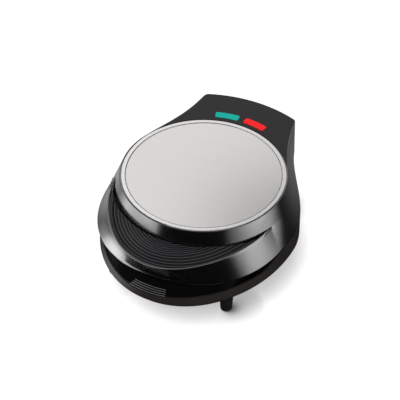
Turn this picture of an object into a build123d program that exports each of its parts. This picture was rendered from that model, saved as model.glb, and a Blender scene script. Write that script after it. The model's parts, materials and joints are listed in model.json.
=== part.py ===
from build123d import *
from math import cos, degrees, radians, sin
import os

os.makedirs("parts", exist_ok=True)

# Millimetres, +Z up, front towards -Y. The plan centre of every piece is the axis of the round cooking
# plates. That axis stands at centre_y, so that the origin is under the middle of the whole appliance.

# ---------------------------------------------------------------- heights above the table
foot_height = 19.0         # feet below the base floor
belt_rise = 7.5            # base floor to the widest line of the base
rim_rise = 9.5             # widest line to the front rim of the base
scoop_rise = 12.0          # front rim to the top of the base, the depth of the finger recess
seam_gap = 1.5             # slit between base and lid wall
lid_height = 41.5          # lid wall, from its lower edge to the flat top
lip_drop = 15.0            # flat top to the top edge of the front lip

floor_z = foot_height
belt_z = floor_z + belt_rise
rim_z = belt_z + rim_rise
base_top = rim_z + scoop_rise
lid_edge = base_top + seam_gap
lid_top = lid_edge + lid_height
lip_z = lid_top - lip_drop
hinge_z = base_top + seam_gap / 2

# ---------------------------------------------------------------- plan sizes, from the plate axis
drum_radius = 84.5         # round drum at the flat top
half_width = 100.3         # lid and base at their widest
lip_reach = 128.6          # front lip of the lid
brim_reach = 114.5         # lower edge of the lid at the front
brim_fullness = 2.35       # squareness of that edge, 2 is an ellipse
lip_fullness = 1.87
rim_reach = 128.0          # front rim of the base
rim_fullness = 1.85
belt_reach = 126.0
floor_inset = 6.5          # base floor inside the widest line
top_swell = 36.3           # how far the sides run straight back from the plate axis, flat top
edge_swell = 39.9          # the same at the lower edge
top_waist = (56.9, 57.2)   # where the sides turn back to the tail, flat top
edge_waist = (60.1, 81.0)
base_waist = (60.1, 78.0)
tail_half_width = 51.5     # rear corners of the lid
tail_corner = 114.6
tail_reach = 124.6         # rear edge of the lid at the middle
hinge_setback = 9.3        # rear edge of the lid to the hinge axis
base_setback = 4.4         # hinge axis to the rear wall of the base
base_bow = 3.0             # bow of that wall between its corners

centre_y = (lip_reach - tail_reach) / 2
hinge_y = tail_reach - hinge_setback
base_rear = hinge_y - base_setback
base_corner = base_rear - base_bow
corner_round = 4.0

# ---------------------------------------------------------------- walls and clearances
wall = 2.4                 # moulded shells
top_wall = 3.0             # lid top
fit = 0.2                  # one moulding inside another
seat_gap = 0.1             # pieces that are laid in a recess
joint_gap = 0.4            # between pieces that move against each other
cut_margin = 1.0           # how far a cut reaches past the wall that it goes through

# ---------------------------------------------------------------- lid trim
disc_radius = 78.2
disc_thickness = 0.8
disc_groove = 0.5
trim_radius = 83.0         # outer edge of the rolled rim round the disc
trim_height = 1.3
trim_round = 0.78
disc_recess = 1.0
lens_inner = 88.3
lens_outer = 96.4
lens_near = 2.0            # angles of a lens from the middle of the tail
lens_far = 17.4
lens_round = 1.8
lens_stand = 0.4
lens_flange = 1.2
lens_depth = 2.2
lamp_drop = 9.0            # lamp axis below the underside of the lid top
lamp_radius = 2.5
lamp_length = 11.0
holder_sheet = 1.5
holder_post = (3.0, 5.0)
panel_seat = 5.5           # seat of the ribbed panel below the lip
panel_edge = 3.7           # outer edge of the panel below the lip
panel_crown = 1.0          # its inner part above the lip
sloping_ribs = 4           # ribs that stand on its rising edge
panel_gap = 1.0            # channel between the panel and the drum
lip_wall = 1.5
rib_count = 11
rib_pitch = (3.5, 2.85)    # ribs of the panel, side and front
rib_width = 1.6
rib_height = 0.8
rib_seat = 0.75            # share of a rib's width at which it sits on the sloping edge
first_rib = (85.2, 121.6)

# ---------------------------------------------------------------- cooking plates
plate_radius = 80.0
plate_stand = 0.5          # plate faces beyond the frames round them
frame_thickness = 3.0
pocket_radius = 71.0
pocket_bar = 5.0           # half the bar between the two pockets
pocket_corner = 9.0
pocket_depth = 9.0
pocket_draft = 4.0         # narrowing of a pocket towards its floor
plate_wall = 2.2
element_radius = 44.0
element_tube = 3.2
element_opening = 22.0     # angle between the two ends, each side of the rear
terminal_reach = 64.0
terminal_radius = 1.6
shield_radius = 75.0
shield_flange = 87.0
shield_sheet = 0.6
shield_gap = 2.0           # heating element to the shield
shield_screw_circle = 83.5
shield_screw_length = 2.4
lead_window = 42.0         # opening in the side of a heat shield for the leads
thermostat_radius = 8.0
thermostat_height = 7.0
thermostat_flange = 1.0    # thickness of its flange and chamfer of its cap
thermostat_place = (24.0, 4.0)
fuse_radius = 2.2
fuse_length = 14.0
fuse_chamfer = 0.5
fuse_place = (-24.0, 0.0)

# ---------------------------------------------------------------- finger recess and side walls of the base
scoop_top_reach = 108.0    # top edge of the finger recess at the front
scoop_top_fullness = 1.95
side_start = -20.0         # where the side walls of the base reach their full height
side_foot = -52.0          # and where they leave the front rim
side_slope = 0.6           # how steeply they reach their full height
grip_half = 18.0           # half length of the grip ridges
grip_count = 5
grip_pitch = 2.3
grip_width = 1.0
grip_height = 0.8
first_grip = 113.2
vent_count = 7
vent_pitch = 9.0
vent_width = 3.0
vent_length = 44.0

# ---------------------------------------------------------------- hinge
lug_offset = 20.0
lug_width = 7.0
cheek_width = 3.0
knuckle_radius = 4.0
pin_radius = 1.6
pin_running = 0.05
pin_press = 0.01
pin_end = 0.5              # length of a pin outside the cheeks, each side

# ---------------------------------------------------------------- fasteners, feet and inlet
screw_radius = 1.4
screw_head = 2.8
screw_head_height = 1.8
boss_radius = 4.0
boss_front = (44.0, -90.0)
boss_rear = (40.0, 95.0)
foot_front = (62.1, -80.0)
foot_rear = (42.0, 84.0)
foot_top = 7.0
foot_bottom = 5.8
foot_round = 1.5
foot_spigot = 3.0
spigot_length = 5.0
inlet_bore = 3.2
inlet_collar = 4.6
inlet_flange = 6.2
inlet_height = 12.2        # axis of the cord inlet above the base floor
block_size = (26.0, 11.0, 9.0)
block_y = 92.0
block_bore = 1.6
block_pitch = 8.0
lead_radius = 1.3
lead_run_y = 78.0          # where the leads cross over, outside the heat shields
base_screw_length = 12.0
lid_screw_length = 7.0
boss_bore = 12.0
lug_root = 19.0            # reach of a hinge lug in front of its axis
lug_slot_setback = 8.0     # rear edge of the lid to the middle of the slot round a lug
lug_slot_length = 44.0


def level(z):
    """The horizontal plane at a height, centred on the plate axis."""
    return Plane(origin=(0, centre_y, z))


def drum_radius_at(z):
    """Radius of the round flared wall at a height."""
    share = (lid_top - z) / lid_height
    return drum_radius + share * (half_width - drum_radius)


def front_points(width, reach, fullness, count=24):
    """Points of a rounded front, from the right-hand side round to the left-hand side."""
    points = []
    for step in range(count + 1):
        turn = radians(180 * step / count)
        across = abs(cos(turn) / width) ** fullness
        along = abs(sin(turn) / reach) ** fullness
        radius = (across + along) ** (-1 / fullness)
        points.append((radius * cos(turn), -radius * sin(turn)))
    return points


def front_half(z, width, reach, fullness):
    """The half of a section in front of the plate axis."""
    points = front_points(width, reach, fullness)
    with BuildSketch(level(z)) as sketch:
        with BuildLine():
            for start in range(0, len(points) - 2, 2):
                ThreePointArc(*points[start:start + 3])
            Line(points[-1], points[0])
        make_face()
    return sketch.sketch.face()


def side_points(width, swell, waist, corner, count=4):
    """Points of the right-hand side, from the tail corner forward, short of its widest place."""
    points = []
    for step in range(count):
        along = step / count
        weights = [(1 - along) ** 3, 3 * (1 - along) ** 2 * along, 3 * (1 - along) * along**2, along**3]
        x = sum(share * part for share, part in zip(weights, (corner[0], waist[0], width, width)))
        y = sum(share * part for share, part in zip(weights, (corner[1], waist[1], swell, 0)))
        points.append((x, y))
    return points


def outline(z, width, reach, fullness, swell, waist, corner_y, rear, inset=0.0):
    """A whole section: rounded front, drawn-in sides and the tail with its bowed rear edge."""
    corner = (tail_half_width - inset, corner_y - inset)
    bend = (waist[0] - inset, waist[1])
    right = side_points(width - inset, swell, bend, corner)
    left = [(-x, y) for x, y in reversed(right)]
    points = right + front_points(width - inset, reach - inset, fullness) + left
    with BuildSketch(level(z)) as sketch:
        with BuildLine():
            for start in range(0, len(points) - 2, 2):
                ThreePointArc(*points[start:start + 3])
            ThreePointArc(corner, (0, rear - inset), (-corner[0], corner[1]))
        make_face()
        fillet(sketch.vertices().sort_by(Axis.Y)[-2:], corner_round)
    return sketch.sketch.face()


def lid_section(z, reach, fullness, inset):
    """A section of the lid wall, which leans out and swells on its way down."""
    share = (lid_top - z) / lid_height
    swell = top_swell + share * (edge_swell - top_swell)
    waist = [top + share * (edge - top) for top, edge in zip(top_waist, edge_waist)]
    return outline(z, drum_radius_at(z), reach, fullness, swell, waist, tail_corner, tail_reach, inset)


def drum_section(z, inset=0.0):
    """The lid with its round drum front."""
    return lid_section(z, drum_radius_at(z), 2, inset)


def visor_at(z):
    """Reach and fullness of the front wall between the lip and the lower edge of the lid."""
    share = (lip_z - z) / (lip_z - lid_edge)
    return lip_reach + share * (brim_reach - lip_reach), lip_fullness + share * (brim_fullness - lip_fullness)


def visor_section(z, inset=0.0):
    """The lid with its long front below the lip."""
    return lid_section(z, *visor_at(z), inset)


def base_section(z, reach, fullness, inset=0.0):
    """A section of the base, in line with the lower edge of the lid at the sides."""
    return outline(z, half_width, reach, fullness, edge_swell, base_waist, base_corner, base_rear, inset)


def visor_half(z, inset=0.0):
    """The front half of the lid below its lip."""
    reach, fullness = visor_at(z)
    return front_half(z, drum_radius_at(z) - inset, reach - inset, fullness)


def screw(name, places, seat_z, length, downwards=True):
    """A group of pan-head screws whose heads lie on seat_z."""
    way = -1 if downwards else 1
    with BuildPart() as screws:
        with BuildSketch(level(seat_z)):
            with Locations(*places):
                Circle(screw_head)
        extrude(amount=-way * screw_head_height)
        with BuildSketch(level(seat_z)):
            with Locations(*places):
                Circle(screw_radius)
        extrude(amount=way * length)
    finish(screws, name)


def finish(piece, name):
    """Name a piece and write it to its own file."""
    piece.part.label = name
    export_step(piece.part, f"parts/{name}.step")


def mirrored(place):
    """A place and its mirror image on the other side of the appliance."""
    return [place, (-place[0], place[1])]


def ring_places(radius, count, start):
    """Places evenly spaced on a circle."""
    turns = [radians(start + 360 * step / count) for step in range(count)]
    return [(radius * cos(turn), radius * sin(turn)) for turn in turns]


# ================================================================ lid
panel_seat_z = lip_z - panel_seat
panel_edge_z = lip_z - panel_edge
panel_crown_z = lip_z + panel_crown
lid_ceiling = lid_top - top_wall
visor_ceiling = panel_seat_z - wall
lid_frame_back = lid_edge + frame_thickness
upper_face = lid_edge - plate_stand
lower_face = base_top + plate_stand
plate_back = pocket_depth + plate_wall
upper_element_z = upper_face + plate_back + element_tube
lower_element_z = lower_face - plate_back - element_tube
upper_dish_z = upper_element_z + element_tube + shield_gap
lower_dish_z = lower_element_z - element_tube - shield_gap
base_frame_back = base_top - frame_thickness
shield_screws = ring_places(shield_screw_circle, 4, 45)


def drum_core(clearance):
    """The flared drum as a plain cone, to cut what lies against it."""
    with BuildPart() as core:
        with BuildSketch(level(lid_top + cut_margin)):
            Circle(drum_radius_at(lid_top + cut_margin) + clearance)
        with BuildSketch(level(lid_edge)):
            Circle(half_width + clearance)
        loft()
    return core.part


def lens_face(z, side, grow):
    """Arched window of one indicator lens: side 1 on the right, -1 on the left."""
    middle = (lens_inner + lens_outer) / 2
    spread = degrees(grow / middle)
    span = lens_far - lens_near + 2 * spread
    start = 90 - lens_far - spread if side > 0 else 90 + lens_near - spread
    with BuildSketch(level(z)) as sketch:
        with BuildLine():
            near = CenterArc((0, 0), lens_inner - grow, start, span)
            far = CenterArc((0, 0), lens_outer + grow, start, span)
            Line(near @ 0, far @ 0)
            Line(near @ 1, far @ 1)
        make_face()
        fillet(sketch.vertices(), lens_round)
    return sketch.sketch.face()


with BuildPart() as panel_room:
    loft([visor_half(lip_z, lip_wall), visor_half(panel_seat_z, lip_wall)], ruled=True)
    add(drum_core(0), mode=Mode.SUBTRACT)

with BuildPart() as lid_shell:
    loft([drum_section(lid_top), drum_section(lip_z)], ruled=True)
    loft([visor_section(lip_z), visor_section(lid_edge)], ruled=True)
    loft(
        [visor_section(visor_ceiling, wall), visor_section(lid_edge, wall)],
        ruled=True,
        mode=Mode.SUBTRACT,
    )
    loft(
        [drum_section(lid_ceiling, wall), drum_section(visor_ceiling, wall)],
        ruled=True,
        mode=Mode.SUBTRACT,
    )
    add(panel_room.part, mode=Mode.SUBTRACT)
    with BuildSketch(level(lid_top - disc_recess)):
        Circle(trim_radius + seat_gap)
    extrude(amount=2 * disc_recess, mode=Mode.SUBTRACT)
    for side in (1, -1):
        window = lens_face(lid_ceiling - cut_margin, side, seat_gap)
        extrude(window, amount=top_wall + 2 * cut_margin, mode=Mode.SUBTRACT)
    for place, top in ((boss_front, visor_ceiling), (boss_rear, lid_ceiling)):
        with BuildSketch(level(lid_frame_back)):
            with Locations(*mirrored(place)):
                Circle(boss_radius)
        extrude(amount=top - lid_frame_back)
        with BuildSketch(level(lid_frame_back)):
            with Locations(*mirrored(place)):
                Circle(screw_radius)
        extrude(amount=lid_screw_length, mode=Mode.SUBTRACT)
finish(lid_shell, "lid_shell")

with BuildPart() as crescent_panel:
    panel_inset = lip_wall + seat_gap
    loft(
        [visor_half(panel_seat_z, panel_inset), visor_half(panel_edge_z, panel_inset)],
        ruled=True,
    )
    foot_width, foot_reach = [size + rib_width / 4 for size in first_rib]
    crown_width = foot_width - sloping_ribs * rib_pitch[0]
    crown_reach = foot_reach - sloping_ribs * rib_pitch[1]
    loft(
        [
            front_half(panel_edge_z, foot_width, foot_reach, 2),
            front_half(panel_crown_z, crown_width, crown_reach, 2),
        ],
        ruled=True,
    )
    for rib in range(rib_count):
        across = first_rib[0] - rib * rib_pitch[0]
        along = first_rib[1] - rib * rib_pitch[1]
        climbed = (rib + rib_seat * rib_width / rib_pitch[1]) / sloping_ribs
        rise = min(1.0, climbed) * (panel_crown_z - panel_edge_z)
        with BuildSketch(level(panel_edge_z + rise - rib_height)):
            Ellipse(across, along)
            Ellipse(across - rib_width, along - rib_width, mode=Mode.SUBTRACT)
            with Locations((0, along)):
                Rectangle(4 * across, 2 * along, mode=Mode.SUBTRACT)
        extrude(amount=2 * rib_height)
    add(drum_core(panel_gap), mode=Mode.SUBTRACT)
finish(crescent_panel, "crescent_panel")

with BuildPart() as steel_disc:
    with BuildSketch(level(lid_top - disc_recess)):
        Circle(disc_radius)
    extrude(amount=disc_thickness)
    chamfer(steel_disc.edges().group_by(Axis.Z)[-1], disc_thickness / 4)
finish(steel_disc, "steel_disc")

with BuildPart() as disc_trim:
    with BuildSketch(level(lid_top - disc_recess)):
        Circle(trim_radius)
        Circle(disc_radius + disc_groove, mode=Mode.SUBTRACT)
    extrude(amount=trim_height)
    fillet(disc_trim.edges().group_by(Axis.Z)[-1], trim_round)
finish(disc_trim, "disc_trim")

for lens_name, side in (("red_lens", 1), ("green_lens", -1)):
    with BuildPart() as lens:
        extrude(lens_face(lid_ceiling, side, 0), amount=top_wall + lens_stand)
        fillet(lens.edges().group_by(Axis.Z)[-1], lens_stand / 2)
        extrude(lens_face(lid_ceiling, side, lens_flange), amount=-lens_depth)
    finish(lens, lens_name)

lamp_y = (lens_inner + lens_outer) / 2
lamp_x = lamp_y * sin(radians((lens_near + lens_far) / 2))
lamp_z = lid_ceiling - lamp_drop

with BuildPart() as neon_lamps:
    with BuildSketch(Plane(origin=(0, centre_y + lamp_y, lamp_z), x_dir=(0, 1, 0), z_dir=(1, 0, 0))):
        Circle(lamp_radius)
    extrude(amount=lamp_x + lamp_length / 2, both=True)
    with BuildSketch(level(lamp_z - lamp_radius)):
        with Locations((0, lamp_y)):
            Rectangle(2 * lamp_x - lamp_length, 4 * lamp_radius)
    extrude(amount=2 * lamp_radius, mode=Mode.SUBTRACT)
finish(neon_lamps, "neon_lamps")

with BuildPart() as lamp_holder:
    with BuildSketch(level(lamp_z - lamp_radius)):
        with Locations((0, lamp_y)):
            Rectangle(2 * lamp_x + lamp_length, 4 * lamp_radius)
    extrude(amount=-holder_sheet)
    with BuildSketch(level(lamp_z - lamp_radius)):
        with Locations((0, lamp_y)):
            Rectangle(holder_post[0], holder_post[1])
    extrude(amount=lid_ceiling - lamp_z + lamp_radius)
finish(lamp_holder, "lamp_holder")


# ================================================================ hinge
cheek_offset = lug_width / 2 + joint_gap + cheek_width / 2
cheek_places = [side * (lug_offset + way * cheek_offset) for side in (1, -1) for way in (1, -1)]
pin_length = 2 * (cheek_offset + cheek_width / 2 + pin_end)


def side_plane(x):
    """Upright plane across the width at x, drawn with Y to the right and Z up."""
    return Plane(origin=(x, centre_y, 0), x_dir=(0, 1, 0), z_dir=(1, 0, 0))


def knuckle(x, thickness, root_start, root_low, root_high):
    """Side view of a hinge knuckle: a round eye carried by a root that reaches forward."""
    with BuildSketch(side_plane(x - thickness / 2)) as sketch:
        with Locations((hinge_y, hinge_z)):
            Circle(knuckle_radius)
        with BuildLine():
            Polyline(
                (root_start, root_low),
                (hinge_y, hinge_z - knuckle_radius),
                (hinge_y, hinge_z + knuckle_radius),
                (root_start, root_high),
                close=True,
            )
        make_face()
    return sketch.sketch


with BuildPart() as lid_frame:
    loft(
        [visor_section(lid_edge, wall + fit), visor_section(lid_frame_back, wall + 2 * fit)],
        ruled=True,
    )
    with BuildSketch(level(lid_edge)):
        Circle(plate_radius + fit)
        with Locations(*mirrored(boss_front), *mirrored(boss_rear)):
            Circle(screw_radius + fit)
        with Locations(*mirrored((lug_offset, tail_reach - lug_slot_setback))):
            Rectangle(lug_width + 2 * joint_gap, lug_slot_length)
    extrude(amount=frame_thickness, mode=Mode.SUBTRACT)
    with BuildSketch(level(lid_edge)):
        with Locations(*mirrored(boss_front), *mirrored(boss_rear)):
            Circle(screw_head + fit)
    extrude(amount=screw_head_height, mode=Mode.SUBTRACT)
    with BuildSketch(level(lid_frame_back)):
        with Locations(*shield_screws):
            Circle(screw_radius)
    extrude(amount=-shield_screw_length, mode=Mode.SUBTRACT)
    for x in cheek_places:
        with BuildSketch(side_plane(x - cheek_width / 2)):
            with Locations((hinge_y, hinge_z)):
                Circle(knuckle_radius)
            with Locations((hinge_y, (hinge_z + lid_frame_back) / 2)):
                Rectangle(2 * knuckle_radius, lid_frame_back - hinge_z)
        extrude(amount=cheek_width)
    with BuildSketch(side_plane(0)):
        with Locations((hinge_y, hinge_z)):
            Circle(pin_radius + pin_running)
    extrude(amount=half_width, both=True, mode=Mode.SUBTRACT)
finish(lid_frame, "lid_frame")

with BuildPart() as hinge_pins:
    for side in (1, -1):
        with BuildSketch(side_plane(side * lug_offset)):
            with Locations((hinge_y, hinge_z)):
                Circle(pin_radius)
        extrude(amount=pin_length / 2, both=True)
finish(hinge_pins, "hinge_pins")


# ================================================================ cooking plates and heaters
def pocket_face(z, side, grow):
    """Half-moon outline of a pocket, grown or drawn in."""
    with BuildSketch(level(z)) as sketch:
        Circle(pocket_radius + grow)
        with Locations((-side * (pocket_radius - pocket_bar + grow), 0)):
            Rectangle(2 * pocket_radius, 4 * pocket_radius, mode=Mode.SUBTRACT)
        fillet(sketch.vertices(), pocket_corner + grow)
    return sketch.sketch.face()


def cooking_plate(name, face_z, way):
    """A die-cast plate with two half-moon pockets that go upwards (way 1) or downwards (way -1)."""
    flange = frame_thickness + plate_stand
    deep = pocket_depth
    with BuildPart() as plate:
        with BuildSketch(level(face_z)):
            Circle(plate_radius)
        extrude(amount=way * flange)
        for side in (1, -1):
            mouth = pocket_face(face_z + way * flange, side, plate_wall)
            back = pocket_face(face_z + way * (deep + plate_wall), side, plate_wall - pocket_draft)
            loft([mouth, back], ruled=True)
        for side in (1, -1):
            mouth = pocket_face(face_z, side, 0)
            floor = pocket_face(face_z + way * deep, side, -pocket_draft)
            loft([mouth, floor], ruled=True, mode=Mode.SUBTRACT)
    finish(plate, name)


def heating_element(name, axis_z):
    """A tubular element, nearly a full ring, with a straight cold end at each side of its opening."""
    turn = radians(element_opening)
    end = (element_radius * sin(turn), element_radius * cos(turn))
    with BuildPart() as element:
        with BuildLine(level(axis_z)) as path:
            CenterArc((0, 0), element_radius, 90 + element_opening, 360 - 2 * element_opening)
        with BuildSketch(Plane(path.line @ 0, z_dir=path.line % 0)):
            Circle(element_tube)
        sweep()
        with BuildSketch(Plane(origin=(0, centre_y + end[1], axis_z), x_dir=(1, 0, 0), z_dir=(0, 1, 0))):
            with Locations((end[0], 0), (-end[0], 0)):
                Circle(terminal_radius)
        extrude(amount=terminal_reach - end[1])
    finish(element, name)


def heat_shield(name, frame_back, dish_z, way):
    """A sheet dish behind the element, whose flange holds the plate in its frame."""
    with BuildPart() as shield:
        with BuildSketch(level(frame_back)):
            Circle(shield_flange)
            Circle(shield_radius - shield_sheet, mode=Mode.SUBTRACT)
            with Locations(*shield_screws):
                Circle(screw_radius + fit, mode=Mode.SUBTRACT)
        extrude(amount=way * shield_sheet)
        with BuildSketch(level(frame_back)):
            Circle(shield_radius)
            Circle(shield_radius - shield_sheet, mode=Mode.SUBTRACT)
        extrude(amount=dish_z - frame_back)
        with BuildSketch(level(dish_z)):
            Circle(shield_radius)
        extrude(amount=way * shield_sheet)
        with BuildSketch(level(frame_back + way * 2 * shield_sheet)):
            with Locations((0, shield_radius)):
                Rectangle(lead_window, shield_radius / 2)
        extrude(amount=dish_z - frame_back - way * 2 * shield_sheet, mode=Mode.SUBTRACT)
    finish(shield, name)


cooking_plate("upper_cooking_plate", upper_face, 1)
cooking_plate("lower_cooking_plate", lower_face, -1)
heating_element("upper_heating_element", upper_element_z)
heating_element("lower_heating_element", lower_element_z)
heat_shield("upper_heat_shield", lid_frame_back, upper_dish_z, 1)
heat_shield("lower_heat_shield", base_frame_back, lower_dish_z, -1)


# ================================================================ base
def upper_wall_cut():
    """The space above the front rim that the side walls leave open."""
    with BuildPart() as cut:
        with BuildSketch(side_plane(-half_width - wall)):
            with BuildLine():
                ramp = Spline((side_foot, rim_z), (side_start, base_top), tangents=[(1, 0), (1, side_slope)])
                Polyline(
                    ramp @ 1,
                    (side_start, lid_edge),
                    (-lip_reach, lid_edge),
                    (-lip_reach, rim_z),
                    ramp @ 0,
                )
            make_face()
        extrude(amount=2 * (half_width + wall))
    return cut.part


with BuildPart() as base_shell:
    loft([base_section(floor_z, belt_reach, 2, floor_inset), base_section(belt_z, belt_reach, 2)], ruled=True)
    loft([base_section(belt_z, belt_reach, 2), base_section(rim_z, rim_reach, rim_fullness)], ruled=True)
    extrude(base_section(rim_z, rim_reach, rim_fullness), amount=scoop_rise)
    loft(
        [
            base_section(floor_z + wall, belt_reach, 2, floor_inset + wall / 2),
            base_section(belt_z, belt_reach, 2, wall),
        ],
        ruled=True,
        mode=Mode.SUBTRACT,
    )
    loft(
        [base_section(belt_z, belt_reach, 2, wall), base_section(rim_z, rim_reach, rim_fullness, wall)],
        ruled=True,
        mode=Mode.SUBTRACT,
    )
    extrude(base_section(rim_z, rim_reach, rim_fullness, wall), amount=scoop_rise, mode=Mode.SUBTRACT)
    add(upper_wall_cut(), mode=Mode.SUBTRACT)
    with BuildSketch(level(hinge_z - knuckle_radius - joint_gap)):
        with Locations(*mirrored((lug_offset, base_rear))):
            Rectangle(lug_width + 2 * fit, 4 * wall)
    extrude(amount=knuckle_radius + seam_gap, mode=Mode.SUBTRACT)
    with BuildSketch(Plane(origin=(0, centre_y + base_rear, floor_z + inlet_height), z_dir=(0, 1, 0))):
        Circle(inlet_collar + seat_gap)
    extrude(amount=2 * wall, both=True, mode=Mode.SUBTRACT)
    with BuildSketch(level(floor_z)):
        with Locations(*mirrored(boss_front), *mirrored(boss_rear)):
            Circle(screw_radius + fit)
        with Locations(*mirrored(foot_front), *mirrored(foot_rear)):
            Circle(foot_spigot)
        with GridLocations(vent_pitch, 0, vent_count, 1):
            SlotOverall(vent_length, vent_width, rotation=90)
    extrude(amount=wall, mode=Mode.SUBTRACT)
finish(base_shell, "base_shell")


def frame_rim(z, inset):
    """A section of the base frame with the outline of the front rim."""
    return base_section(z, rim_reach, rim_fullness, inset)


def frame_top(z, inset):
    """A section of the base frame with the outline of the top edge of the finger recess."""
    return base_section(z, scoop_top_reach + wall + fit, scoop_top_fullness, inset)


with BuildPart() as base_frame:
    loft([frame_rim(rim_z, wall + fit), frame_top(base_top, wall + fit)], ruled=True)
    loft(
        [frame_rim(rim_z, 2 * wall + fit), frame_top(base_frame_back, 2 * wall + fit)],
        ruled=True,
        mode=Mode.SUBTRACT,
    )
    for grip in range(grip_count):
        along = first_grip + grip * grip_pitch
        fall = (along - scoop_top_reach) / (rim_reach - wall - fit - scoop_top_reach) * scoop_rise
        across = half_width - wall
        with BuildSketch(level(base_top - fall - 2 * grip_height)):
            Ellipse(across, along)
            Ellipse(across - grip_width, along - grip_width, mode=Mode.SUBTRACT)
            with Locations((0, -along)):
                Rectangle(2 * grip_half, along, mode=Mode.INTERSECT)
        extrude(amount=3 * grip_height)
    with BuildSketch(level(base_top)):
        Circle(plate_radius + fit)
    extrude(amount=-scoop_rise, mode=Mode.SUBTRACT)
    with BuildSketch(level(floor_z + wall)):
        with Locations(*mirrored(boss_front), *mirrored(boss_rear)):
            Circle(boss_radius)
    extrude(amount=base_frame_back - floor_z - wall)
    with BuildSketch(level(floor_z + wall)):
        with Locations(*mirrored(boss_front), *mirrored(boss_rear)):
            Circle(screw_radius)
    extrude(amount=boss_bore, mode=Mode.SUBTRACT)
    with BuildSketch(level(base_frame_back)):
        with Locations(*shield_screws):
            Circle(screw_radius)
    extrude(amount=shield_screw_length, mode=Mode.SUBTRACT)
    for side in (1, -1):
        eye = knuckle(side * lug_offset, lug_width, hinge_y - lug_root, base_frame_back, base_top)
        extrude(eye, amount=lug_width)
    with BuildSketch(side_plane(0)):
        with Locations((hinge_y, hinge_z)):
            Circle(pin_radius + pin_press)
    extrude(amount=half_width, both=True, mode=Mode.SUBTRACT)
finish(base_frame, "base_frame")

feet = {
    "front_left_foot": (-foot_front[0], foot_front[1]),
    "front_right_foot": foot_front,
    "rear_left_foot": (-foot_rear[0], foot_rear[1]),
    "rear_right_foot": foot_rear,
}
for foot_name, place in feet.items():
    with BuildPart() as foot:
        with BuildSketch(level(0)):
            with Locations(place):
                Circle(foot_bottom)
        with BuildSketch(level(floor_z)):
            with Locations(place):
                Circle(foot_top)
        loft()
        fillet(foot.edges().group_by(Axis.Z)[0], foot_round)
        with BuildSketch(level(floor_z)):
            with Locations(place):
                Circle(foot_spigot)
        extrude(amount=spigot_length)
    finish(foot, foot_name)

with BuildPart() as cord_inlet:
    inlet_plane = Plane(origin=(0, centre_y + base_rear, floor_z + inlet_height), z_dir=(0, 1, 0))
    with BuildSketch(inlet_plane):
        Circle(inlet_flange)
    extrude(amount=wall / 2)
    with BuildSketch(inlet_plane):
        Circle(inlet_collar)
    extrude(amount=-2 * wall)
    with BuildSketch(inlet_plane):
        Circle(inlet_bore)
    extrude(amount=3 * wall, both=True, mode=Mode.SUBTRACT)
finish(cord_inlet, "cord_inlet")


# ================================================================ thermostat, fuse, terminals, leads
pocket_back_z = lower_face - plate_back
terminal_x = element_radius * sin(radians(element_opening))

with BuildPart() as thermostat:
    with BuildSketch(level(pocket_back_z)):
        with Locations(thermostat_place):
            Circle(thermostat_radius)
    extrude(amount=-thermostat_height)
    chamfer(thermostat.edges().group_by(Axis.Z)[0], thermostat_flange)
    with BuildSketch(level(pocket_back_z - thermostat_height / 2)):
        with Locations(thermostat_place):
            Rectangle(4 * thermostat_radius, thermostat_radius / 2)
    extrude(amount=thermostat_flange)
finish(thermostat, "thermostat")

with BuildPart() as thermal_fuse:
    with BuildSketch(side_plane(fuse_place[0] - fuse_length / 2)):
        with Locations((fuse_place[1], pocket_back_z - fuse_radius)):
            Circle(fuse_radius)
    extrude(amount=fuse_length)
    chamfer(thermal_fuse.edges(), fuse_chamfer)
finish(thermal_fuse, "thermal_fuse")

with BuildPart() as terminal_block:
    with BuildSketch(level(floor_z + wall)):
        with Locations((0, block_y)):
            Rectangle(block_size[0], block_size[1])
    extrude(amount=block_size[2])
    with BuildSketch(level(floor_z + wall + block_size[2])):
        with Locations((0, block_y)):
            with GridLocations(block_pitch, 0, 3, 1):
                Circle(block_bore)
    extrude(amount=-block_size[2] / 2, mode=Mode.SUBTRACT)
finish(terminal_block, "terminal_block")


def leads(name, start, drop_z, end_z):
    """Two insulated leads, mirrored, from start to the cold ends of a heating element."""
    bend = 3 * lead_radius
    with BuildPart() as pair:
        for side in (1, -1):
            with BuildLine(level(0)) as path:
                FilletPolyline(
                    (side * start[0], start[1], drop_z),
                    (side * start[0], lead_run_y, drop_z),
                    (side * terminal_x, lead_run_y, end_z),
                    (side * terminal_x, terminal_reach, end_z),
                    radius=bend,
                )
            with BuildSketch(Plane(path.line @ 0, z_dir=path.line % 0)):
                Circle(lead_radius)
            sweep()
    finish(pair, name)


block_mouth = (block_pitch, block_y - block_size[1] / 2)
leads("base_leads", block_mouth, floor_z + wall + block_size[2] / 2, lower_element_z)
leads("lid_leads", (lamp_x, lamp_y - lamp_radius), lamp_z, upper_element_z)

case_screws = mirrored(boss_front) + mirrored(boss_rear)
screw("lid_screws", case_screws, lid_edge + screw_head_height, lid_screw_length, False)
screw("base_screws", case_screws, floor_z, base_screw_length, False)
screw("upper_shield_screws", shield_screws, lid_frame_back + shield_sheet, shield_screw_length)
screw("lower_shield_screws", shield_screws, base_frame_back - shield_sheet, shield_screw_length, False)
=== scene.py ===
"""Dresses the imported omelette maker: moulded skins, brushed disc, ribbed front, lamp lenses, plates and stage."""

import json
from math import atan2, cos, exp, pi, radians, sin

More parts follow.
